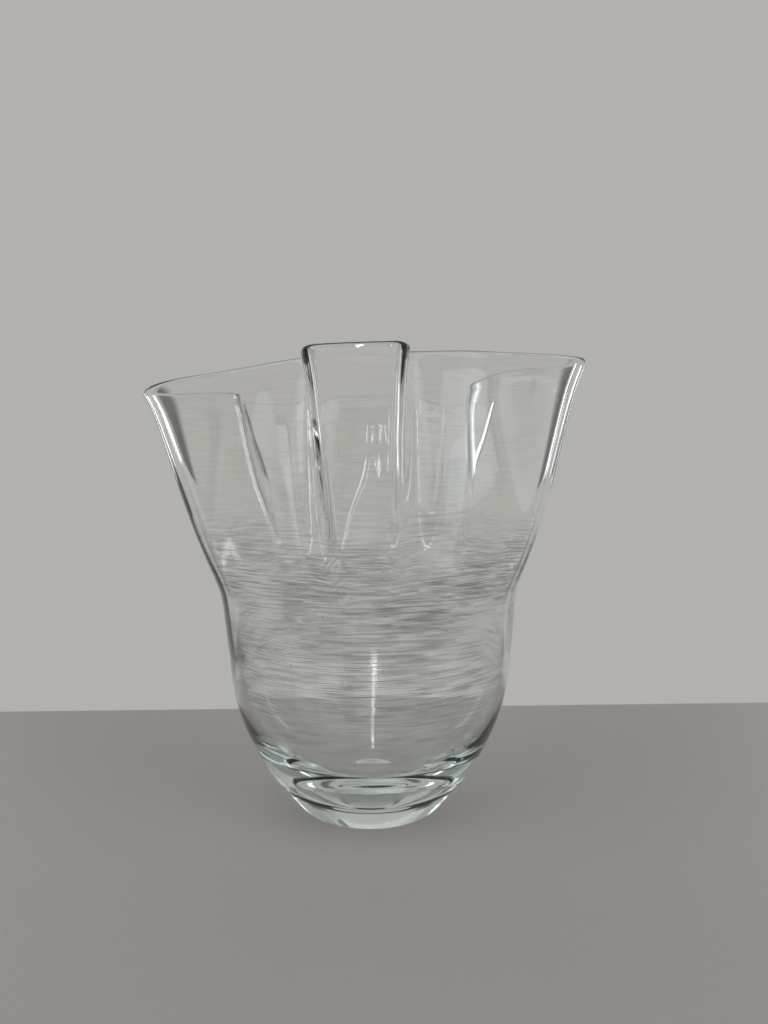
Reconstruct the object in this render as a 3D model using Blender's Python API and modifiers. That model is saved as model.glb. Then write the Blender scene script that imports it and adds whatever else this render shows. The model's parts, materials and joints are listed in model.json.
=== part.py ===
"""Handkerchief vase: one piece of clear blown glass, turned round and then folded into five lobes.

Units are metres, +Z is up, the vase stands on z = 0 and its first lobe points along -Y.
The section is turned about Z as a round blank. The wall above the bowl is then drawn out into
lobes, and the lining follows the outer skin at the thickness of the glass.
"""

import math
from collections import namedtuple

import bpy
from mathutils import Vector

NAME = "vase"

# Bowl
FOOT_RADIUS = 0.0283
BOWL_RADIUS = 0.0551
BOWL_HEIGHT = 0.0605
BOWL_FULLNESS = 1.93
BOWL_LEAN = 0.121

# Shallow hollow left where the vase was cut from the rod and polished
PONTIL_RADIUS = 0.0110
PONTIL_DEPTH = 0.0010

# Thickness of the glass
FLOOR_THICKNESS = 0.0092
BOWL_WALL = 0.0041
RIM_WALL = 0.0023
WALL_TAPER = 2.6

# Inside of the bowl: how boldly it is rounded, and how far it lies off the axis
WELL_ROUNDNESS = 0.64
WELL_OFFSET = 0.0006

# Wall above the bowl: a plain neck, then the folded part up to the rim
NECK_HEIGHT = 0.0265
FOLD_HEIGHT = 0.0806
VALLEY_RADIUS = 0.0546
VALLEY_LEAN = 0.033
FOLD_POWER = 0.733
FOLD_SOFTNESS = 0.060
LOBE_REACH = 0.0291
LOBE_DIP = 0.0034
LIP_FLARE = 0.0010
LIP_SHARE = 0.15
RIM_RISE = 0.0020
RISE_TO_RIGHT = 0.019
RISE_TO_BACK = -0.011

# Plan of the folds, in degrees
FIRST_LOBE = 268.0
LOBE_WIDTH = 24.5
LOBE_WIDTH_LOW = 19.1
WIDTH_POWER = 0.57
SQUARENESS_LOW = 4.2
SQUARENESS_POWER = 1.57
PLEAT = 1.55
CROWDING = 2.6

# Each lobe: how far it swings sideways and how square its tip is. How far it stands out, how much
# its rim rises and how wide it is are given beside the common sizes above, and so is the radius
# of the valley that follows it anticlockwise.
Lobe = namedtuple("Lobe", "swing reach rise squareness width valley")
LOBES = (
    Lobe(swing=-0.5, reach=1.119, rise=-1.04, squareness=13.6, width=0.790, valley=0.988),
    Lobe(swing=3.0, reach=1.082, rise=1.57, squareness=3.0, width=0.966, valley=0.860),
    Lobe(swing=0.5, reach=1.011, rise=-0.69, squareness=7.1, width=0.920, valley=1.001),
    Lobe(swing=1.2, reach=1.035, rise=0.67, squareness=5.5, width=1.068, valley=1.074),
    Lobe(swing=-1.2, reach=0.883, rise=-2.10, squareness=2.6, width=1.300, valley=1.052),
)

# Levels of the section, which is at 0 at the foot
BOWL_TOP = 1.0
RIM = 2.0

# Facets
COLUMNS_PER_LOBE = 22
WELL_ROWS = 8
WALL_ROWS = 13
BEAD_ROWS = 4
BOWL_ROWS = 9
PONTIL_ROWS = 2

# Colour of the glass, and how far light bends in it
GLASS_COLOUR = (0.90, 0.94, 0.92, 1.0)
GLASS_INDEX = 1.5
GLASS_ROUGHNESS = 0.02

# A row of the section: the zone it belongs to, and how far along that zone it lies
Row = namedtuple("Row", "zone share")

CELL = 360.0 / len(LOBES)
SMALL_TURN = 0.02
SMALL_LEVEL = 0.0005


def clear_scene():
    """Remove every object of the scene."""
    for item in list(bpy.data.objects):
        bpy.data.objects.remove(item, do_unlink=True)


def mix(start, end, share):
    """Value between start and end."""
    return start + (end - start) * share


def ease(share):
    """Smooth step from 0 to 1."""
    return share * share * (3.0 - 2.0 * share)


def hermite(start, start_slope, end, end_slope, share):
    """Cubic from start to end, with its slopes given per unit of share."""
    square = share * share
    cube = square * share
    bend = start_slope * (cube - 2.0 * square + share) + end_slope * (cube - square)
    return mix(start, end, 3.0 * square - 2.0 * cube) + bend


def bezier(points, share):
    """Point on the cubic curve with the four given control points."""
    while len(points) > 1:
        points = [a.lerp(b, share) for a, b in zip(points, points[1:])]
    return points[0]


def section_rows():
    """Rows from the middle of the inside floor, up the lining, over the rim and down the skin."""
    rows = [Row("well", i / WELL_ROWS) for i in range(WELL_ROWS)]
    rows += [Row("lining", BOWL_TOP + i / WALL_ROWS) for i in range(WALL_ROWS + 1)]
    rows += [Row("bead", 1.0 - i / (BEAD_ROWS + 1)) for i in range(1, BEAD_ROWS + 1)]
    rows += [Row("skin", RIM - i / WALL_ROWS) for i in range(WALL_ROWS + 1)]
    rows += [Row("skin", BOWL_TOP - i / BOWL_ROWS) for i in range(1, BOWL_ROWS + 1)]
    rows += [Row("pontil", 1.0 - i / PONTIL_ROWS) for i in range(PONTIL_ROWS + 1)]
    return rows


def nearest_lobe(turn):
    """Number of the lobe nearest to an angle of the blank, and the angle measured from that lobe."""
    offset = (turn + CELL / 2.0) % 360.0
    return int(offset // CELL) % len(LOBES), offset % CELL - CELL / 2.0


def traits_between_lobes(number, offset):
    """The lobe's numbers there, passing smoothly from one lobe to the next."""
    own = LOBES[number]
    before = LOBES[number - 1]
    other = LOBES[(number + 1) % len(LOBES)] if offset > 0.0 else before
    beside = own.valley if offset > 0.0 else before.valley
    share = ease(abs(offset) / CELL)
    valley = mix((own.valley + before.valley) / 2.0, beside, ease(2.0 * abs(offset) / CELL))
    between = Lobe(*(mix(mine, theirs, share) for mine, theirs in zip(own, other)))
    return between._replace(valley=valley)


def fold_opening(climb):
    """How far the folds have opened, from nearly 0 at the neck to 1 at the rim."""
    softened = climb + math.hypot(climb, FOLD_SOFTNESS)
    return (softened / (1.0 + math.hypot(1.0, FOLD_SOFTNESS))) ** FOLD_POWER


def plain_profile(level, valley):
    """Radius and height of the skin between the lobes, in the bowl and on the wall above it."""
    wall = NECK_HEIGHT + FOLD_HEIGHT
    if level > BOWL_TOP:
        above = level - BOWL_TOP
        radius = hermite(BOWL_RADIUS, BOWL_LEAN * wall, valley, VALLEY_LEAN * wall, above)
        return radius, BOWL_HEIGHT + wall * above
    angle = max(level, 0.0) / BOWL_TOP * math.pi / 2.0
    radius = mix(FOOT_RADIUS, BOWL_RADIUS, math.sin(angle) ** BOWL_FULLNESS)
    return radius, BOWL_HEIGHT * (1.0 - math.cos(angle))


def standing_out(lobe, angle, folded):
    """How much of the lobe's reach there is at an angle from its middle, flat in the valleys."""
    away = CELL / 2.0 * abs(math.sin(math.pi * angle / CELL))
    width = mix(LOBE_WIDTH_LOW, LOBE_WIDTH * lobe.width, folded**WIDTH_POWER)
    squareness = mix(SQUARENESS_LOW, lobe.squareness, folded**SQUARENESS_POWER)
    return 1.0 / (1.0 + (away / width) ** squareness)


def skin_point(turn, level):
    """Point of the outer skin at an angle of the blank and a level of the section."""
    number, offset = nearest_lobe(turn)
    climb = mix(-NECK_HEIGHT, FOLD_HEIGHT, level - BOWL_TOP) / FOLD_HEIGHT
    folded = min(max(climb, 0.0), 1.0)
    waves = math.radians(360.0 / CELL)
    crowded = offset + folded * CROWDING * math.sin(2.0 * waves * offset)
    lobe = traits_between_lobes(number, crowded)
    radius, height = plain_profile(level, VALLEY_RADIUS * lobe.valley)
    out = standing_out(lobe, crowded, folded)
    radius += LOBE_REACH * lobe.reach * out * fold_opening(climb) * min(level / BOWL_TOP, 1.0) ** 4
    radius += LIP_FLARE * max((folded - 1.0) / LIP_SHARE + 1.0, 0.0) ** 2
    sideways = lobe.swing - PLEAT * math.sin(waves * crowded)
    angle = math.radians(FIRST_LOBE + turn - offset + crowded + math.sqrt(folded) * sideways)
    x = radius * math.cos(angle)
    y = radius * math.sin(angle)
    lift = RIM_RISE * lobe.rise - LOBE_DIP * out + RISE_TO_RIGHT * x + RISE_TO_BACK * y
    return Vector((x, y, height + folded * folded * lift))


def skin_directions(turn, level):
    """Unit vectors up along the skin and straight out of it."""
    around = skin_point(turn + SMALL_TURN, level) - skin_point(turn - SMALL_TURN, level)
    upward = skin_point(turn, level) - skin_point(turn, level - SMALL_LEVEL)
    return upward.normalized(), around.cross(upward).normalized()


def wall_thickness(level):
    """Thickness of the glass above the bowl."""
    return mix(RIM_WALL, BOWL_WALL, (RIM - level) ** WALL_TAPER)


def lining_point(turn, level):
    """Point of the inside wall, behind the skin at the same angle and level."""
    _, outward = skin_directions(turn, level)
    off_axis = Vector((WELL_OFFSET * (RIM - level), 0.0, 0.0))
    return skin_point(turn, level) - wall_thickness(level) * outward + off_axis


def bead_point(turn, share):
    """Point of the round rim, share 0 at the skin and 1 at the lining."""
    upward, outward = skin_directions(turn, RIM)
    half = RIM_WALL / 2.0
    angle = share * math.pi
    ray = math.cos(angle) * outward + math.sin(angle) * upward
    return skin_point(turn, RIM) - half * outward + half * ray


def well_point(turn, share):
    """Point inside the bowl, share 0 at the middle of the floor and 1 where the lining begins."""
    top = lining_point(turn, BOWL_TOP)
    upward, _ = skin_directions(turn, BOWL_TOP)
    middle = Vector((WELL_OFFSET, 0.0, FLOOR_THICKNESS))
    across = Vector((top.x, top.y, middle.z)) - middle
    down = upward * (middle.z - top.z)
    return bezier([middle, middle + WELL_ROUNDNESS * across, top + WELL_ROUNDNESS * down, top], share)


def pontil_point(turn, share):
    """Point of the polished hollow under the foot, share 0 at its middle and 1 at its edge."""
    angle = math.radians(FIRST_LOBE + turn)
    radius = PONTIL_RADIUS * share
    return Vector((radius * math.cos(angle), radius * math.sin(angle), PONTIL_DEPTH * (1.0 - share * share)))


def vase_point(row, turn):
    """Place in the finished vase of a row of the section, at an angle of the blank."""
    places = {
        "well": well_point,
        "lining": lining_point,
        "bead": bead_point,
        "skin": skin_point,
        "pontil": pontil_point,
    }
    return places[row.zone](turn, row.share)


def turn_blank(rows, collection):
    """Round blank: the section through a valley, turned about Z, with each vertex keeping its row."""
    section = [vase_point(row, CELL / 2.0) for row in rows]
    radii = [math.hypot(point.x, point.y) for point in section]
    radii[0] = 0.0
    radii[-1] = 0.0
    profile = [(radius, 0.0, point.z) for radius, point in zip(radii, section)]
    mesh = bpy.data.meshes.new(NAME)
    mesh.from_pydata(profile, [(i, i + 1) for i in range(len(rows) - 1)], [])
    numbers = mesh.attributes.new("row", "INT", "POINT")
    numbers.data.foreach_set("value", range(len(rows)))
    blank = bpy.data.objects.new(NAME, mesh)
    collection.objects.link(blank)
    screw = blank.modifiers.new("Turn", "SCREW")
    screw.axis = "Z"
    screw.steps = COLUMNS_PER_LOBE * len(LOBES)
    screw.render_steps = screw.steps
    screw.use_merge_vertices = True
    screw.merge_threshold = 0.00001
    bpy.context.view_layer.objects.active = blank
    bpy.ops.object.modifier_apply(modifier=screw.name)
    return blank


def fold_blank(blank, rows):
    """Move every vertex of the round blank to its place in the folded vase."""
    numbers = blank.data.attributes["row"].data
    for vertex, number in zip(blank.data.vertices, numbers):
        turn = math.degrees(math.atan2(vertex.co.y, vertex.co.x))
        vertex.co = vase_point(rows[number.value], turn)
    blank.data.attributes.remove(blank.data.attributes["row"])
    blank.data.update()


def stand_on_centre(vase):
    """Put the middle of the vase's outline over the origin, with its foot on z = 0."""
    xs = [vertex.co.x for vertex in vase.data.vertices]
    ys = [vertex.co.y for vertex in vase.data.vertices]
    vase.location = (-(min(xs) + max(xs)) / 2.0, -(min(ys) + max(ys)) / 2.0, 0.0)


def clear_glass():
    """Material of the vase."""
    material = bpy.data.materials.new("clear_glass")
    material.use_nodes = True
    shader = material.node_tree.nodes["Principled BSDF"]
    shader.inputs["Base Color"].default_value = GLASS_COLOUR
    shader.inputs["Metallic"].default_value = 0.0
    shader.inputs["Roughness"].default_value = GLASS_ROUGHNESS
    shader.inputs["IOR"].default_value = GLASS_INDEX
    shader.inputs["Transmission Weight"].default_value = 1.0
    return material


def main():
    """Build the vase."""
    clear_scene()
    collection = bpy.data.collections.new("handkerchief_vase")
    bpy.context.scene.collection.children.link(collection)
    rows = section_rows()
    vase = turn_blank(rows, collection)
    fold_blank(vase, rows)
    stand_on_centre(vase)
    vase.data.materials.append(clear_glass())
    vase.data.shade_smooth()
    vase.data.set_sharp_from_angle(angle=math.radians(35.0))


main()
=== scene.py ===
"""Studio scene of the handkerchief vase: clear blown glass standing on a pale counter.

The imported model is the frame. Clear glass shows every facet, so the glass is built here once more
from the same sizes with far finer facets, and it takes the place of the node.
"""

import json
import logging
import math
from dataclasses import astuple, dataclass
from enum import Enum
from typing import Any

import bpy
import numpy as np
from mathutils import Matrix, Vector

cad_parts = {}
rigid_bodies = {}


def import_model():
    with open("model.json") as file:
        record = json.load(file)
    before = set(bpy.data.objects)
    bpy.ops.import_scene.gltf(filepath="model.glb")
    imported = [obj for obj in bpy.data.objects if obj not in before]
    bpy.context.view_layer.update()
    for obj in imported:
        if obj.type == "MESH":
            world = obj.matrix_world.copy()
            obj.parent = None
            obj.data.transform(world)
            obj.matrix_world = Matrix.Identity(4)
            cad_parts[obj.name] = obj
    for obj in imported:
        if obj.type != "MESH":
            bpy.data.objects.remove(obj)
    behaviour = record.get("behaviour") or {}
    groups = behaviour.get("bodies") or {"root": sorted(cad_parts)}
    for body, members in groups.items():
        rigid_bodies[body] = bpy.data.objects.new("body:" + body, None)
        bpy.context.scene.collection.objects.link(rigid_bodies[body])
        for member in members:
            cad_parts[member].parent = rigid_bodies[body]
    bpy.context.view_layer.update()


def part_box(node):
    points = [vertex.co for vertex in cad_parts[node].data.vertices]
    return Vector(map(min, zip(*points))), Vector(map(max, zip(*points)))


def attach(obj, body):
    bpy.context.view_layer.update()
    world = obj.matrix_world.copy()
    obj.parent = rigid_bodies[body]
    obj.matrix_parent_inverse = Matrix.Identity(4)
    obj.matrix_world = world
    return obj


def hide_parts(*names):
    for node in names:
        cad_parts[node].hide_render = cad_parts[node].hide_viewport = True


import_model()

log = logging.getLogger("vase")

NODE = "vase"
BODY = "root"

# How often light may be mirrored inside the glass, whose thick base mirrors it many times
GLASS_BOUNCES = 12

# Levels of the glass's section, which is at 0 at the foot
BOWL_TOP = 1.0
RIM = 2.0

Color = tuple[float, float, float]
Point = tuple[float, float, float]
Span = tuple[float, float]

BACKDROP_COLOR: Color = (0.45, 0.440, 0.418)
WHITE: Color = (1.0, 1.0, 1.0)
COOL_WHITE: Color = (0.86, 0.94, 1.0)
SKY_BLUE: Color = (0.80, 0.92, 1.0)


def mix(start: Any, end: Any, share: Any) -> Any:
    """Value between start and end."""
    return start + (end - start) * share


def ease(share: Any) -> Any:
    """Smooth step from 0 to 1."""
    return share * share * (3.0 - 2.0 * share)


def unit(vectors: np.ndarray) -> np.ndarray:
    """The vectors, each made one long."""
    return vectors / np.linalg.norm(vectors, axis=-1, keepdims=True)


def opaque(color: Color) -> tuple[float, float, float, float]:
    """The colour with full alpha, as a socket takes it."""
    return (*color, 1.0)


class Term:
    """A socket in an expression: Python's operators on it add the nodes that do the sum."""

    def __init__(self, net: "Net", socket: bpy.types.NodeSocket) -> None:
        """Wrap a socket.

        Args:
            net: the nodes that the socket belongs to.
            socket: the output socket.
        """
        self.net = net
        self.socket = socket

    def other(self, name: str) -> "Term":
        """Another output of the same node."""
        return Term(self.net, self.socket.node.outputs[name])

    def math(self, operation: str, *values: Any) -> "Term":
        """A Math node on this value and the others."""
        return self.net.math(operation, self, *values)

    def __add__(self, value: Any) -> "Term":
        """Sum."""
        return self.math("ADD", value)

    def __radd__(self, value: Any) -> "Term":
        """Sum, with the number first."""
        return self.math("ADD", value)

    def __sub__(self, value: Any) -> "Term":
        """Difference."""
        return self.math("SUBTRACT", value)

    def __rsub__(self, value: Any) -> "Term":
        """Difference, with the number first."""
        return self.net.math("SUBTRACT", value, self)

    def __mul__(self, value: Any) -> "Term":
        """Product."""
        return self.math("MULTIPLY", value)

    def __rmul__(self, value: Any) -> "Term":
        """Product, with the number first."""
        return self.math("MULTIPLY", value)

    def between(self, low: float, high: float) -> "Term":
        """Smooth step of the value, from 0 at low to 1 at high."""
        sockets = {"Value": self, "From Min": low, "From Max": high}
        return self.net.add("ShaderNodeMapRange", {"interpolation_type": "SMOOTHSTEP"}, sockets)


class Net:
    """The shader nodes of one material or world."""

    def __init__(self, owner: bpy.types.Material | bpy.types.World) -> None:
        """Start from an empty set of nodes.

        Args:
            owner: the material or world that the nodes are for.
        """
        owner.use_nodes = True
        self.tree = owner.node_tree
        self.tree.nodes.clear()

    def add(
        self,
        kind: str,
        settings: dict[str, Any] | None = None,
        sockets: dict[int | str, Any] | None = None,
        output: int | str = 0,
    ) -> Term | None:
        """Add any node.

        Args:
            kind: the node's type.
            settings: its properties, which are set first.
            sockets: values or terms for its inputs, by name or number.
            output: the output that the term stands for.

        Returns:
            The output as a term, or None for a node that has no outputs.
        """
        node = self.tree.nodes.new(kind)
        for name, value in (settings or {}).items():
            setattr(node, name, value)
        for name, value in (sockets or {}).items():
            if isinstance(value, Term):
                self.tree.links.new(value.socket, node.inputs[name])
            else:
                node.inputs[name].default_value = value
        return Term(self, node.outputs[output]) if node.outputs else None

    def math(self, operation: str, *values: Any) -> Term:
        """A Math node on the values, which are numbers or terms."""
        return self.add("ShaderNodeMath", {"operation": operation}, dict(enumerate(values)))

    def vector(self, operation: str, *values: Any) -> Term:
        """A Vector Math node on the values, which are vectors or terms."""
        return self.add("ShaderNodeVectorMath", {"operation": operation}, dict(enumerate(values)))

    def blend(self, factor: Term, first: Any, second: Any) -> Term:
        """Colour between the first and the second.

        Args:
            factor: 0 for the first colour, 1 for the second.
            first: a colour or a term.
            second: a colour or a term.

        Returns:
            The mixed colour.
        """
        return self.add("ShaderNodeMix", {"data_type": "RGBA"}, {0: factor, 6: first, 7: second}, 2)

    def seen(self) -> Term:
        """Tell what is seen from what lights things.

        Returns:
            1 for what the camera sees, also in a mirror or through glass, and 0 for other light.
        """
        camera = self.add("ShaderNodeLightPath", output="Is Camera Ray")
        through = camera.other("Is Transmission Ray")
        return camera.math("MAXIMUM", camera.other("Is Glossy Ray").math("MAXIMUM", through))


class Zone(Enum):
    """Part of the section, from the middle of the inside floor to the middle of the foot."""

    WELL = "inside of the bowl"
    LINING = "inside wall"
    BEAD = "round rim"
    SKIN = "outside"
    PONTIL = "polished hollow under the foot"


@dataclass(frozen=True)
class Lobe:
    """One lobe of the rim.

    Attributes:
        swing: how far it is turned from its even place, in degrees.
        reach: how far it stands out, beside the common reach.
        rise: how far its rim rises, beside the common rise.
        squareness: how square its tip is.
        width: how wide it is, beside the common width.
        valley: radius of the valley that follows it anticlockwise, beside the common radius.
    """

    swing: float
    reach: float
    rise: float
    squareness: float
    width: float
    valley: float


@dataclass
class GlassBody:
    """The vase's one piece of glass, turned round and folded into lobes.

    A turn is an angle of the blank from its first lobe, in degrees. Levels run up the section.
    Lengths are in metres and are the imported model's.
    """

    foot_radius: float = 0.0283
    bowl_radius: float = 0.0551
    bowl_height: float = 0.0605
    bowl_fullness: float = 1.93
    bowl_lean: float = 0.121
    pontil_radius: float = 0.0110
    pontil_depth: float = 0.0010
    floor_thickness: float = 0.0092
    bowl_wall: float = 0.0041
    rim_wall: float = 0.0023
    wall_taper: float = 2.6
    well_roundness: float = 0.64
    well_offset: float = 0.0006
    neck_height: float = 0.0265
    fold_height: float = 0.0806
    valley_radius: float = 0.0546
    valley_lean: float = 0.033
    fold_power: float = 0.733
    fold_softness: float = 0.060
    lobe_reach: float = 0.0291
    lobe_dip: float = 0.0034
    lip_flare: float = 0.0010
    lip_share: float = 0.15
    rim_rise: float = 0.0020
    rise_to_right: float = 0.019
    rise_to_back: float = -0.011
    first_lobe: float = 268.0
    lobe_width: float = 24.5
    lobe_width_low: float = 19.1
    width_power: float = 0.57
    squareness_low: float = 4.2
    squareness_power: float = 1.57
    pleat: float = 1.55
    crowding: float = 2.6
    lobes: tuple[Lobe, ...] = (
        Lobe(swing=-0.5, reach=1.119, rise=-1.04, squareness=13.6, width=0.790, valley=0.988),
        Lobe(swing=3.0, reach=1.082, rise=1.57, squareness=3.0, width=0.966, valley=0.860),
        Lobe(swing=0.5, reach=1.011, rise=-0.69, squareness=7.1, width=0.920, valley=1.001),
        Lobe(swing=1.2, reach=1.035, rise=0.67, squareness=5.5, width=1.068, valley=1.074),
        Lobe(swing=-1.2, reach=0.883, rise=-2.10, squareness=2.6, width=1.300, valley=1.052),
    )
    columns_per_lobe: int = 90
    well_rows: int = 32
    wall_rows: int = 56
    bead_rows: int = 9
    bowl_rows: int = 32
    pontil_rows: int = 6
    small_turn: float = 0.02
    small_level: float = 0.0005

    def __post_init__(self) -> None:
        """Work out the angle that each lobe has, and the lobes as a table of numbers."""
        self.cell = 360.0 / len(self.lobes)
        self.table = np.array([astuple(lobe) for lobe in self.lobes])
        self.axis = Vector((0.0, 0.0, 0.0))

    def traits(self, number: np.ndarray, offset: np.ndarray) -> np.ndarray:
        """The lobes' numbers there, passing smoothly from one lobe to the next.

        Args:
            number: number of the nearest lobe.
            offset: angle from that lobe, in degrees.

        Returns:
            The swing, reach, rise, squareness, width and valley, one array each.
        """
        own = self.table[number]
        before = self.table[number - 1]
        after = self.table[(number + 1) % len(self.lobes)]
        follows = (offset > 0.0)[..., None]
        share = ease(np.abs(offset) / self.cell)[..., None]
        traits = mix(own, np.where(follows, after, before), share)
        beside = np.where(follows, own, before)[..., -1]
        middle = (own + before)[..., -1] / 2.0
        traits[..., -1] = mix(middle, beside, ease(2.0 * np.abs(offset) / self.cell))
        return np.moveaxis(traits, -1, 0)

    def fold_opening(self, climb: np.ndarray) -> np.ndarray:
        """How far the folds have opened, from nearly 0 at the neck to 1 at the rim."""
        softened = climb + np.hypot(climb, self.fold_softness)
        return (softened / (1.0 + math.hypot(1.0, self.fold_softness))) ** self.fold_power

    def profile(self, level: np.ndarray, valley: np.ndarray) -> tuple[np.ndarray, np.ndarray]:
        """The outside between the lobes.

        Args:
            level: levels to work out.
            valley: radius of the valley at the rim.

        Returns:
            The radius and the height.
        """
        wall = self.neck_height + self.fold_height
        above = level - BOWL_TOP
        square = above * above
        cube = square * above
        radius_above = mix(self.bowl_radius, valley, 3.0 * square - 2.0 * cube)
        radius_above += self.bowl_lean * wall * (cube - 2.0 * square + above)
        radius_above += self.valley_lean * wall * (cube - square)
        angle = np.clip(level / BOWL_TOP, 0.0, 1.0) * math.pi / 2.0
        radius_bowl = mix(self.foot_radius, self.bowl_radius, np.sin(angle) ** self.bowl_fullness)
        radius = np.where(above > 0.0, radius_above, radius_bowl)
        height_bowl = self.bowl_height * (1.0 - np.cos(angle))
        return radius, np.where(above > 0.0, self.bowl_height + wall * above, height_bowl)

    def standing_out(
        self, squareness: np.ndarray, width: np.ndarray, angle: np.ndarray, folded: np.ndarray
    ) -> np.ndarray:
        """How much of a lobe's reach there is, flat in the valleys.

        Args:
            squareness: how square the lobe's tip is.
            width: how wide the lobe is, beside the common width.
            angle: angle from the lobe's middle, in degrees.
            folded: how far up the folded part it is.

        Returns:
            The share of the reach.
        """
        away = self.cell / 2.0 * np.abs(np.sin(math.pi * angle / self.cell))
        width = mix(self.lobe_width_low, self.lobe_width * width, folded**self.width_power)
        squareness = mix(self.squareness_low, squareness, folded**self.squareness_power)
        return 1.0 / (1.0 + (away / width) ** squareness)

    def skin(self, turn: np.ndarray, level: np.ndarray) -> np.ndarray:
        """Points of the outside.

        Args:
            turn: angles of the blank.
            level: levels, in an array that goes with the angles.

        Returns:
            The points, with x, y and z last.
        """
        turn, level = np.broadcast_arrays(turn, level)
        offset = (turn + self.cell / 2.0) % 360.0
        number = (offset // self.cell).astype(int) % len(self.lobes)
        offset = offset % self.cell - self.cell / 2.0
        climb = mix(-self.neck_height, self.fold_height, level - BOWL_TOP) / self.fold_height
        folded = np.clip(climb, 0.0, 1.0)
        waves = math.radians(360.0 / self.cell)
        crowded = offset + folded * self.crowding * np.sin(2.0 * waves * offset)
        swing, reach, rise, squareness, width, valley = self.traits(number, crowded)
        radius, height = self.profile(level, self.valley_radius * valley)
        out = self.standing_out(squareness, width, crowded, folded)
        opening = self.fold_opening(climb) * np.minimum(level / BOWL_TOP, 1.0) ** 4
        lip = np.maximum((folded - 1.0) / self.lip_share + 1.0, 0.0) ** 2
        radius = radius + self.lobe_reach * reach * out * opening + self.lip_flare * lip
        sideways = swing - self.pleat * np.sin(waves * crowded)
        angle = np.radians(self.first_lobe + turn - offset + crowded + np.sqrt(folded) * sideways)
        x = radius * np.cos(angle)
        y = radius * np.sin(angle)
        lift = self.rim_rise * rise - self.lobe_dip * out + self.rise_to_right * x + self.rise_to_back * y
        return np.stack((x, y, height + folded**2 * lift), axis=-1)

    def directions(self, turn: np.ndarray, level: np.ndarray) -> tuple[np.ndarray, np.ndarray]:
        """Unit vectors up along the outside and straight out of it.

        Args:
            turn: angles of the blank.
            level: levels, in an array that goes with the angles.

        Returns:
            The upward and the outward vectors.
        """
        around = self.skin(turn + self.small_turn, level) - self.skin(turn - self.small_turn, level)
        upward = self.skin(turn, level) - self.skin(turn, level - self.small_level)
        return unit(upward), unit(np.cross(around, upward))

    def thickness(self, level: np.ndarray) -> np.ndarray:
        """Thickness of the glass above the bowl."""
        return mix(self.rim_wall, self.bowl_wall, (RIM - level) ** self.wall_taper)

    def lining(self, turn: np.ndarray, level: np.ndarray) -> np.ndarray:
        """Points of the inside wall, behind the outside at the same angles and levels.

        Args:
            turn: angles of the blank.
            level: levels, in an array that goes with the angles.

        Returns:
            The points, with x, y and z last.
        """
        _, outward = self.directions(turn, level)
        off_axis = (self.well_offset * (RIM - level))[..., None] * np.array((1.0, 0.0, 0.0))
        return self.skin(turn, level) - self.thickness(level)[..., None] * outward + off_axis

    def bead(self, turn: np.ndarray, share: np.ndarray) -> np.ndarray:
        """Points of the round rim.

        Args:
            turn: angles of the blank.
            share: how far over the rim, 0 at the outside and 1 at the inside.

        Returns:
            The points, with x, y and z last.
        """
        rim = np.full_like(share, RIM)
        upward, outward = self.directions(turn, rim)
        half = self.rim_wall / 2.0
        angle = (share * math.pi)[..., None]
        return self.skin(turn, rim) + half * ((np.cos(angle) - 1.0) * outward + np.sin(angle) * upward)

    def well(self, turn: np.ndarray, share: np.ndarray) -> np.ndarray:
        """Points inside the bowl.

        Args:
            turn: angles of the blank.
            share: how far out, 0 at the middle of the floor and 1 where the wall begins.

        Returns:
            The points, with x, y and z last.
        """
        bowl_top = np.full_like(share, BOWL_TOP)
        top = self.lining(turn, bowl_top)
        upward, _ = self.directions(turn, bowl_top)
        middle = np.array((self.well_offset, 0.0, self.floor_thickness))
        across = (top - middle) * np.array((1.0, 1.0, 0.0))
        drop = (middle[2] - top[..., 2])[..., None]
        points = [
            np.broadcast_to(middle, top.shape),
            middle + self.well_roundness * across,
            top + self.well_roundness * drop * upward,
            top,
        ]
        while len(points) > 1:
            points = [mix(a, b, share[..., None]) for a, b in zip(points, points[1:])]
        return points[0]

    def pontil(self, turn: np.ndarray, share: np.ndarray) -> np.ndarray:
        """Points of the polished hollow under the foot.

        Args:
            turn: angles of the blank.
            share: how far out, 0 at its middle and 1 at its edge.

        Returns:
            The points, with x, y and z last.
        """
        turn, share = np.broadcast_arrays(turn, share)
        angle = np.radians(self.first_lobe + turn)
        radius = self.pontil_radius * share
        height = self.pontil_depth * (1.0 - share**2)
        return np.stack((radius * np.cos(angle), radius * np.sin(angle), height), axis=-1)

    def shares(self) -> dict[Zone, list[np.ndarray]]:
        """Where the rows of each zone lie.

        Returns:
            The shares of each zone, or the levels on the walls.
        """
        well = np.arange(self.well_rows) / self.well_rows
        wall = mix(BOWL_TOP, RIM, np.arange(self.wall_rows + 1) / self.wall_rows)
        bead = 1.0 - np.arange(1, self.bead_rows + 1) / (self.bead_rows + 1)
        bowl = BOWL_TOP * (1.0 - np.arange(1, self.bowl_rows + 1) / self.bowl_rows)
        pontil = 1.0 - np.arange(self.pontil_rows + 1) / self.pontil_rows
        skin = np.concatenate((wall[::-1], bowl))
        return {Zone.WELL: well, Zone.LINING: wall, Zone.BEAD: bead, Zone.SKIN: skin, Zone.PONTIL: pontil}

    def grid(self) -> np.ndarray:
        """Every row of the section at every angle, from the middle of the floor to that of the foot.

        Returns:
            The points, by row, then by angle, with x, y and z last.
        """
        count = self.columns_per_lobe * len(self.lobes)
        turn = np.arange(count)[None, :] * 360.0 / count
        places = {
            Zone.WELL: self.well,
            Zone.LINING: self.lining,
            Zone.BEAD: self.bead,
            Zone.SKIN: self.skin,
            Zone.PONTIL: self.pontil,
        }
        rows = []
        for zone, share in self.shares().items():
            rows.append(places[zone](turn, np.repeat(share[:, None], count, axis=1)))
        return np.concatenate(rows)

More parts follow.
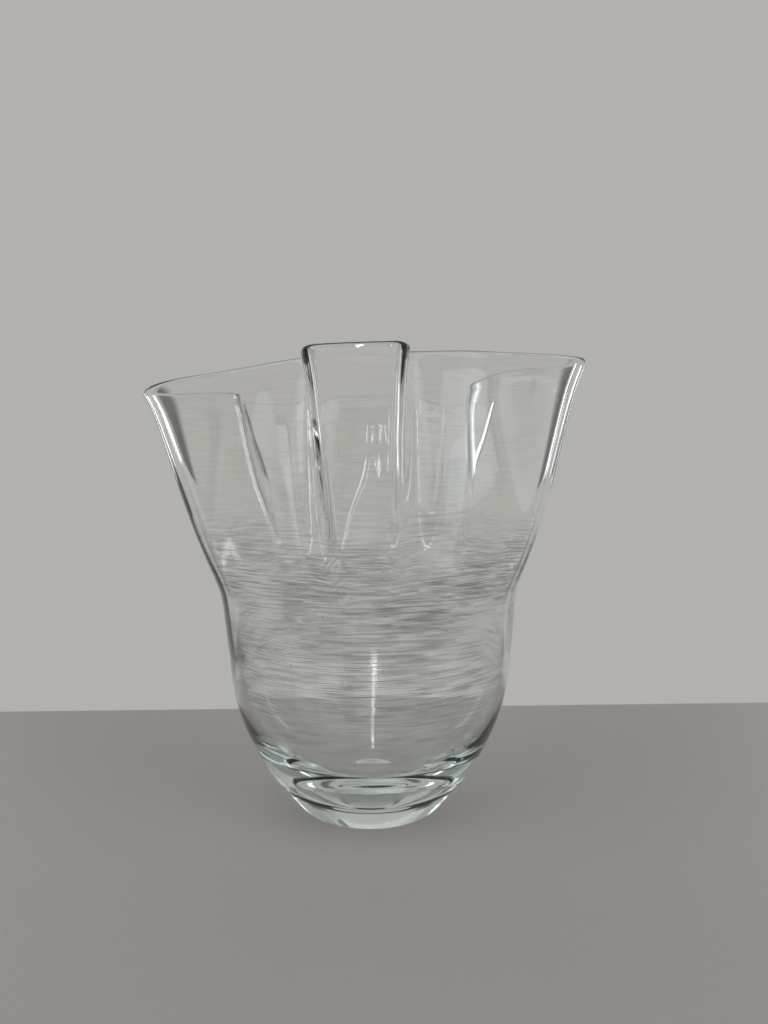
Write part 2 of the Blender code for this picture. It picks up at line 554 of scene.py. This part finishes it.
    def fit_to_node(self, points: np.ndarray) -> np.ndarray:
        """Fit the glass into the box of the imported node, and keep where its axis then is.

        Args:
            points: the points of the glass about its own axis.

        Returns:
            The points in the part's frame.
        """
        low, high = (np.array(corner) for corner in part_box(NODE))
        flat = points.reshape(-1, 3)
        least = flat.min(axis=0)
        scale = (high - low) / (flat.max(axis=0) - least)
        self.axis = Vector(low - least * scale)
        return low + (points - least) * scale

    def build(self) -> bpy.types.Object:
        """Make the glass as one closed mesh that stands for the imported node.

        Returns:
            The piece, riding on its body.
        """
        points = self.fit_to_node(self.grid())
        rings = points[1:-1]
        count = rings.shape[1]
        vertices = np.concatenate((points[0, :1], rings.reshape(-1, 3), points[-1, :1]))
        here = np.arange(count)
        after = (here + 1) % count
        faces = [(0, 1 + i, 1 + j) for i, j in zip(here.tolist(), after.tolist())]
        for ring in range(len(rings) - 1):
            low = 1 + ring * count
            square = (low + here, low + count + here, low + count + after, low + after)
            faces += np.stack(square, axis=1).tolist()
        last = 1 + (len(rings) - 1) * count
        faces += [(last + i, len(vertices) - 1, last + j) for i, j in zip(here.tolist(), after.tolist())]
        mesh = bpy.data.meshes.new("glass_body")
        mesh.from_pydata(vertices.tolist(), [], faces)
        mesh.shade_smooth()
        piece = bpy.data.objects.new("glass_body", mesh)
        bpy.context.scene.collection.objects.link(piece)
        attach(piece, BODY)
        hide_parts(NODE)
        return piece


@dataclass(frozen=True)
class ClearGlass:
    """Colourless blown glass, faintly grey-green where it is thick, with painted shade in its chill
    lines.

    Attributes:
        index: how far light bends in it.
        depth_color: colour that is left of white light after a long way through the glass.
        depth_density: how fast that colour builds up, per metre.
        clean_color: colour of the clean surface.
        line_shade_color: painted shade in the fine lines that run round the wall, a grey tint that stands
            for the shadow lines that the rippled glass throws on what lies behind it.
        shadow_color: light that each surface lets through to what lies behind it in the shade.
        polish: roughness of the fire-polished surface.
        foot_wear: roughness of the ring that it stands on.
        ripple_height: height of the chill lines, in metres.
        wave_height: height of the broad unevenness, in metres.
        seed_height: height of the tiny bubbles under the surface, in metres.
        wave_scale: broad waves per metre along x, y and z.
        line_scale: chill lines per metre along x, y and z.
        line_edge: noise at which a chill line begins and is full.
        patch_scale: patches of chill lines per metre along x, y and z.
        patch_edge: noise at which a patch begins and is full.
        lines_begin: heights between which the chill lines come in, in metres.
        lines_end: heights between which they fade towards the rim, in metres.
        lines_faded: how much of them fades there.
        seed_scale: places for a bubble per metre.
        seed_chosen: random value from which a place has a bubble, with a narrow edge.
        seed_edge: size of a bubble from its middle to its edge, beside the gap between places.
        scuff_scale: scuffs per metre along x, y and z.
        scuff_detail: how many finer layers the scuffs have.
        scuff_edge: noise at which a scuff begins and is full.
        underside: upward part of the surface's direction from which it faces down.
        foot_ring: heights between which the foot's wear ends, in metres.
    """

    index: float = 1.5
    depth_color: Color = (0.82, 0.90, 0.865)
    depth_density: float = 13.0
    clean_color: Color = (0.985, 0.990, 0.987)
    line_shade_color: Color = (0.58, 0.585, 0.58)
    shadow_color: Color = (0.80, 0.81, 0.805)
    polish: float = 0.012
    foot_wear: float = 0.28
    ripple_height: float = 0.000006
    wave_height: float = 0.0003
    seed_height: float = 0.0002
    wave_scale: Point = (30.0, 30.0, 45.0)
    line_scale: Point = (70.0, 70.0, 2000.0)
    line_edge: Span = (0.52, 0.60)
    patch_scale: Point = (26.0, 26.0, 60.0)
    patch_edge: Span = (0.25, 0.55)
    lines_begin: Span = (0.026, 0.060)
    lines_end: Span = (0.090, 0.120)
    lines_faded: float = 0.9
    seed_scale: float = 160.0
    seed_chosen: Span = (0.74, 0.75)
    seed_edge: Span = (0.02, 0.07)
    scuff_scale: Point = (900.0, 300.0, 300.0)
    scuff_detail: float = 2.0
    scuff_edge: Span = (0.35, 0.65)
    underside: Span = (-0.80, -0.97)
    foot_ring: Span = (0.0002, 0.0009)

    def noise(self, net: Net, place: Term, stretch: Point, detail: float = 0.0) -> Term:
        """Noise that runs through the glass.

        Args:
            net: the material's nodes.
            place: the position.
            stretch: features per metre along x, y and z.
            detail: how many finer layers it has.

        Returns:
            The noise, about 0.5 on average.
        """
        scaled = net.vector("MULTIPLY", place, stretch)
        return net.add("ShaderNodeTexNoise", None, {"Vector": scaled, "Scale": 1.0, "Detail": detail})

    def chill_lines(self, net: Net, place: Term, height: Term) -> Term:
        """Fine lines that run round the wall, left by the cold tool. The mask shapes their ripples and
        also places their painted shade.

        Args:
            net: the material's nodes.
            place: the position.
            height: the height above the foot.

        Returns:
            1 in a line and 0 beside it.
        """
        lines = self.noise(net, place, self.line_scale).between(*self.line_edge)
        patches = self.noise(net, place, self.patch_scale).between(*self.patch_edge)
        faded = self.lines_faded * height.between(*self.lines_end)
        return lines * patches * (height.between(*self.lines_begin) * (1.0 - faded))

    def relief(self, net: Net, place: Term, chill: Term) -> Term:
        """Direction of the surface with its broad waves, chill lines and seeds.

        Args:
            net: the material's nodes.
            place: the position.
            chill: where the chill lines are.

        Returns:
            The direction, for a shader's Normal.
        """
        cells = net.add("ShaderNodeTexVoronoi", None, {"Vector": place, "Scale": self.seed_scale})
        pick = net.add("ShaderNodeSeparateXYZ", None, {0: cells.other("Color")})
        seeds = pick.between(*self.seed_chosen) * (1.0 - cells.between(*self.seed_edge))
        waves = {"Height": self.noise(net, place, self.wave_scale), "Distance": self.wave_height}
        broad = net.add("ShaderNodeBump", None, waves | {"Strength": 1.0})
        ripples = {"Height": chill, "Distance": self.ripple_height, "Normal": broad}
        rippled = net.add("ShaderNodeBump", None, ripples | {"Strength": 1.0})
        spots = {"Height": seeds, "Distance": self.seed_height, "Normal": rippled}
        return net.add("ShaderNodeBump", None, spots | {"Strength": 1.0})

    def roughness(self, net: Net, place: Term, height: Term) -> Term:
        """Roughness of the polished surface and the worn ring of the foot.

        Args:
            net: the material's nodes.
            place: the position.
            height: the height above the foot.

        Returns:
            The roughness.
        """
        facing = net.add("ShaderNodeNewGeometry", output="Normal")
        down = net.add("ShaderNodeSeparateXYZ", None, {0: facing}, "Z").between(*self.underside)
        scuffs = self.noise(net, place, self.scuff_scale, self.scuff_detail).between(*self.scuff_edge)
        worn = down * (1.0 - height.between(*self.foot_ring)) * scuffs
        return self.polish + worn * (self.foot_wear - self.polish)

    def material(self) -> bpy.types.Material:
        """Make the material.

        Returns:
            The glass, with its chill lines, broad waves, seeds and worn foot.
        """
        material = bpy.data.materials.new("clear_glass")
        net = Net(material)
        place = net.add("ShaderNodeTexCoord", output="Object")
        height = net.add("ShaderNodeSeparateXYZ", None, {0: place}, "Z")
        chill = self.chill_lines(net, place, height)
        blown = net.add(
            "ShaderNodeBsdfPrincipled",
            None,
            {
                # Painted shade: the chill lines darken the glass's colour, standing for the shadow lines
                # they throw
                "Base Color": net.blend(chill, opaque(self.clean_color), opaque(self.line_shade_color)),
                "Roughness": self.roughness(net, place, height),
                "IOR": self.index,
                "Transmission Weight": 1.0,
                "Normal": self.relief(net, place, chill),
            },
        )
        shadow = net.add("ShaderNodeLightPath", output="Is Shadow Ray")
        pale = net.add("ShaderNodeBsdfTransparent", None, {"Color": opaque(self.shadow_color)})
        surface = net.add("ShaderNodeMixShader", None, {0: shadow, 1: blown, 2: pale})
        depth = {"Color": opaque(self.depth_color), "Density": self.depth_density}
        inside = net.add("ShaderNodeVolumeAbsorption", None, depth)
        net.add("ShaderNodeOutputMaterial", None, {"Surface": surface, "Volume": inside})
        return material


@dataclass(frozen=True)
class PaleCounter:
    """Finish of the floor: a pale grey counter, and beyond its back edge the pale backdrop.

    Attributes:
        counter_color: colour of the counter.
        backdrop_color: colour of everything beyond it.
        back_edge: where the counter ends, in metres behind the vase's middle.
        edge_blur: half the width of the soft line there, in metres.
        grain: how much the counter's colour varies.
        grain_scale: specks per metre.
        grain_detail: how many finer layers the specks have.
        grain_height: height of the specks, in metres.
        roughness: roughness of the counter.
    """

    counter_color: Color = (0.33, 0.31, 0.295)
    backdrop_color: Color = BACKDROP_COLOR
    back_edge: float = 0.113
    edge_blur: float = 0.0008
    grain: float = 0.10
    grain_scale: float = 700.0
    grain_detail: float = 3.0
    grain_height: float = 0.00005
    roughness: float = 0.55

    def material(self) -> bpy.types.Material:
        """Make the material.

        Returns:
            The counter with its specks, and the backdrop beyond it.
        """
        material = bpy.data.materials.new("pale_counter")
        net = Net(material)
        place = net.add("ShaderNodeTexCoord", output="Object")
        back = net.add("ShaderNodeSeparateXYZ", None, {0: place}, "Y")
        beyond = back.between(self.back_edge - self.edge_blur, self.back_edge + self.edge_blur)
        grain = {"Vector": place, "Scale": self.grain_scale, "Detail": self.grain_detail}
        speckle = net.add("ShaderNodeTexNoise", None, grain)
        darker = tuple(value * (1.0 - self.grain) for value in self.counter_color)
        color = net.blend(speckle, opaque(darker), opaque(self.counter_color))
        bump = net.add("ShaderNodeBump", None, {"Height": speckle, "Distance": self.grain_height})
        sockets = {"Base Color": color, "Roughness": self.roughness, "Normal": bump}
        counter = net.add("ShaderNodeBsdfPrincipled", None, sockets)
        backdrop = net.add("ShaderNodeEmission", None, {"Color": opaque(self.backdrop_color)})
        lit = net.add("ShaderNodeBsdfDiffuse", None, {"Color": opaque(self.backdrop_color)})
        behind = net.add("ShaderNodeMixShader", None, {0: net.seen(), 1: lit, 2: backdrop})
        surface = net.add("ShaderNodeMixShader", None, {0: beyond, 1: counter, 2: behind})
        net.add("ShaderNodeOutputMaterial", None, {"Surface": surface})
        return material


@dataclass(frozen=True)
class PaleSurroundings:
    """What stands round the vase: a pale backdrop with narrow dark flags, and a darker room in front.

    Attributes:
        backdrop_color: colour of the backdrop.
        flag_shade: how bright the flags are beside the backdrop.
        overhead_shade: how bright it is overhead beside the backdrop.
        room_shade: how bright the room in front of the vase is beside the backdrop.
        daylight: light that reaches dull surfaces from all round.
        flags: number of flags in the circle.
        flag_edge: the circle's wave at which a flag begins and is full.
        flag_top: upward part of the direction between which the flags end.
        overhead_edge: upward part of the direction between which it turns to overhead.
        room_edge: northward part of the direction between which it turns to the room.
    """

    backdrop_color: Color = BACKDROP_COLOR
    flag_shade: float = 0.25
    overhead_shade: float = 0.45
    room_shade: float = 0.42
    daylight: float = 0.55
    flags: int = 8
    flag_edge: Span = (0.70, 0.95)
    flag_top: Span = (0.35, 0.65)
    overhead_edge: Span = (0.72, 0.95)
    room_edge: Span = (-0.05, -0.45)

    def apply(self) -> None:
        """Set the world of the scene."""
        world = bpy.data.worlds.new("pale_surroundings")
        bpy.context.scene.world = world
        net = Net(world)
        direction = net.add("ShaderNodeTexCoord", output="Generated")
        east = net.add("ShaderNodeSeparateXYZ", None, {0: direction}, "X")
        north = east.other("Y")
        azimuth = net.math("ARCTAN2", north, east)
        up = east.other("Z")
        wave = (azimuth * float(self.flags)).math("COSINE") * -1.0
        flag = wave.between(*self.flag_edge) * (1.0 - up.between(*self.flag_top))
        shade = 1.0 - flag * (1.0 - self.flag_shade)
        level = shade * (1.0 - up.between(*self.overhead_edge) * (1.0 - self.overhead_shade))
        level = level * (1.0 - north.between(*self.room_edge) * (1.0 - self.room_shade))
        camera = net.add("ShaderNodeLightPath", output="Is Camera Ray")
        level = camera + (1.0 - camera) * level
        seen = {"Color": opaque(self.backdrop_color), "Strength": level}
        backdrop = net.add("ShaderNodeBackground", None, seen)
        around = {"Color": opaque(WHITE), "Strength": self.daylight}
        light = net.add("ShaderNodeBackground", None, around)
        surface = net.add("ShaderNodeMixShader", None, {0: net.seen(), 1: light, 2: backdrop})
        net.add("ShaderNodeOutputWorld", None, {"Surface": surface})


class LampShape(Enum):
    """Shape of a lamp's window."""

    ROUND = "DISK"
    STRIP = "RECTANGLE"


@dataclass(frozen=True)
class SoftLamp:
    """One lamp of the studio, turned towards the vase.

    Attributes:
        name: what the lamp is for.
        place: where it stands, in metres from the foot of the vase's axis.
        size: width and height of its window, in metres.
        watts: its power.
        color: colour of its light.
        shape: shape of its window.
        glint: whether it only shows as a highlight, and lights no dull surface.
    """

    name: str
    place: Point
    size: tuple[float, float]
    watts: float
    color: Color = WHITE
    shape: LampShape = LampShape.STRIP
    glint: bool = False

    def build(self, axis: Vector, target: Vector) -> None:
        """Make the lamp.

        Args:
            axis: foot of the vase's axis.
            target: the point that it is turned towards.
        """
        light = bpy.data.lights.new(self.name, "AREA")
        light.shape = self.shape.value
        light.size = self.size[0]
        light.size_y = self.size[1]
        light.energy = self.watts
        light.color = self.color
        lamp = bpy.data.objects.new(self.name, light)
        bpy.context.scene.collection.objects.link(lamp)
        lamp.location = axis + Vector(self.place)
        lamp.rotation_euler = (target - lamp.location).to_track_quat("-Z", "Y").to_euler()
        lamp.visible_camera = False
        lamp.visible_diffuse = not self.glint


@dataclass
class Studio:
    """Counter, surroundings and lamps.

    Attributes:
        axis: foot of the vase's axis.
        counter: finish of the floor.
        surroundings: what stands round the vase.
        floor_radius: radius of the floor, in metres.
        floor_sides: number of straight sides of the round floor.
        contact_gap: thin air left between the foot and the counter, in metres.
        lamps: the lamps.
    """

    axis: Vector
    counter: PaleCounter = PaleCounter()
    surroundings: PaleSurroundings = PaleSurroundings()
    floor_radius: float = 3.0
    floor_sides: int = 96
    contact_gap: float = 0.00005
    lamps: tuple[SoftLamp, ...] = (
        SoftLamp("overhead", (-0.25, -0.25, 1.00), (1.60, 1.60), 4.0),
        SoftLamp("fill", (0.80, -0.70, 0.70), (0.60, 0.60), 1.5),
        SoftLamp("left_edge", (-0.95, 1.20, 0.25), (0.16, 0.90), 0.9, COOL_WHITE),
        SoftLamp("right_edge", (0.95, 1.20, 0.25), (0.16, 0.90), 0.9, COOL_WHITE),
        SoftLamp("left_belly", (-1.10, -0.25, 0.45), (0.60, 0.60), 0.9, SKY_BLUE),
        SoftLamp("right_belly", (1.10, -0.25, 0.45), (0.60, 0.60), 0.9, SKY_BLUE),
        SoftLamp("front_strip", (-0.018, -0.40, 0.24), (0.03, 0.16), 0.20, glint=True),
        SoftLamp(
            "front_glint",
            (-0.018, -0.282, 0.132),
            (0.02, 0.02),
            0.80,
            shape=LampShape.ROUND,
            glint=True,
        ),
    )

    def floor(self) -> None:
        """Make the floor as a wide round plate under the vase."""
        angles = [2.0 * math.pi * i / self.floor_sides for i in range(self.floor_sides)]
        rim = [(self.floor_radius * math.cos(a), self.floor_radius * math.sin(a), 0.0) for a in angles]
        mesh = bpy.data.meshes.new("counter")
        mesh.from_pydata(rim, [], [tuple(range(self.floor_sides))])
        mesh.materials.append(self.counter.material())
        floor = bpy.data.objects.new("counter", mesh)
        bpy.context.scene.collection.objects.link(floor)
        floor.location = self.axis - Vector((0.0, 0.0, self.contact_gap))

    def build(self) -> None:
        """Make the floor, the surroundings and the lamps."""
        self.floor()
        self.surroundings.apply()
        low, high = (Vector(corner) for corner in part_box(NODE))
        for lamp in self.lamps:
            lamp.build(self.axis, (low + high) / 2.0)
            log.info("lamp %s", lamp.name)


@dataclass(frozen=True)
class Viewpoint:
    """Camera of the photograph.

    Attributes:
        place: where it stands, in metres from the foot of the vase's axis.
        lens: focal length in millimetres.
        sensor: width of the long side of its picture, in millimetres.
        pitch: how far it looks down, in degrees.
        yaw: how far it looks to the right of +Y, in degrees.
        roll: how far it is turned about its own axis, in degrees.
        nearest: how near a thing may come and still be seen, in metres.
    """

    place: Point = (0.0, -0.28244, 0.12616)
    lens: float = 24.89
    sensor: float = 36.0
    pitch: float = 2.285
    yaw: float = 1.176
    roll: float = 0.308
    nearest: float = 0.01

    def build(self, axis: Vector) -> None:
        """Make the camera and use it for the picture.

        Args:
            axis: foot of the vase's axis.
        """
        data = bpy.data.cameras.new("viewpoint")
        data.lens = self.lens
        data.sensor_width = self.sensor
        data.clip_start = self.nearest
        camera = bpy.data.objects.new("viewpoint", data)
        bpy.context.scene.collection.objects.link(camera)
        pitch, yaw, roll = (math.radians(angle) for angle in (self.pitch, self.yaw, self.roll))
        flat = Vector((math.sin(yaw), math.cos(yaw), 0.0))
        ahead = flat * math.cos(pitch) - Vector((0.0, 0.0, math.sin(pitch)))
        right = ahead.cross(Vector((0.0, 0.0, 1.0))).normalized()
        up = right.cross(ahead)
        across = math.cos(roll) * right - math.sin(roll) * up
        upright = math.sin(roll) * right + math.cos(roll) * up
        turn = Matrix((across, upright, -ahead)).transposed().to_4x4()
        camera.matrix_world = Matrix.Translation(axis + Vector(self.place)) @ turn
        bpy.context.scene.camera = camera


def main() -> None:
    """Build the glass, the studio and the camera."""
    logging.basicConfig(level=logging.INFO, format="%(message)s")
    bpy.context.scene.view_settings.view_transform = "Standard"
    bpy.context.scene.cycles.glossy_bounces = GLASS_BOUNCES
    body = GlassBody()
    glass = body.build()
    glass.data.materials.append(ClearGlass().material())
    log.info("glass body: %d faces", len(glass.data.polygons))
    Studio(body.axis).build()
    Viewpoint().build(body.axis)


if __name__ == "__main__":
    main()
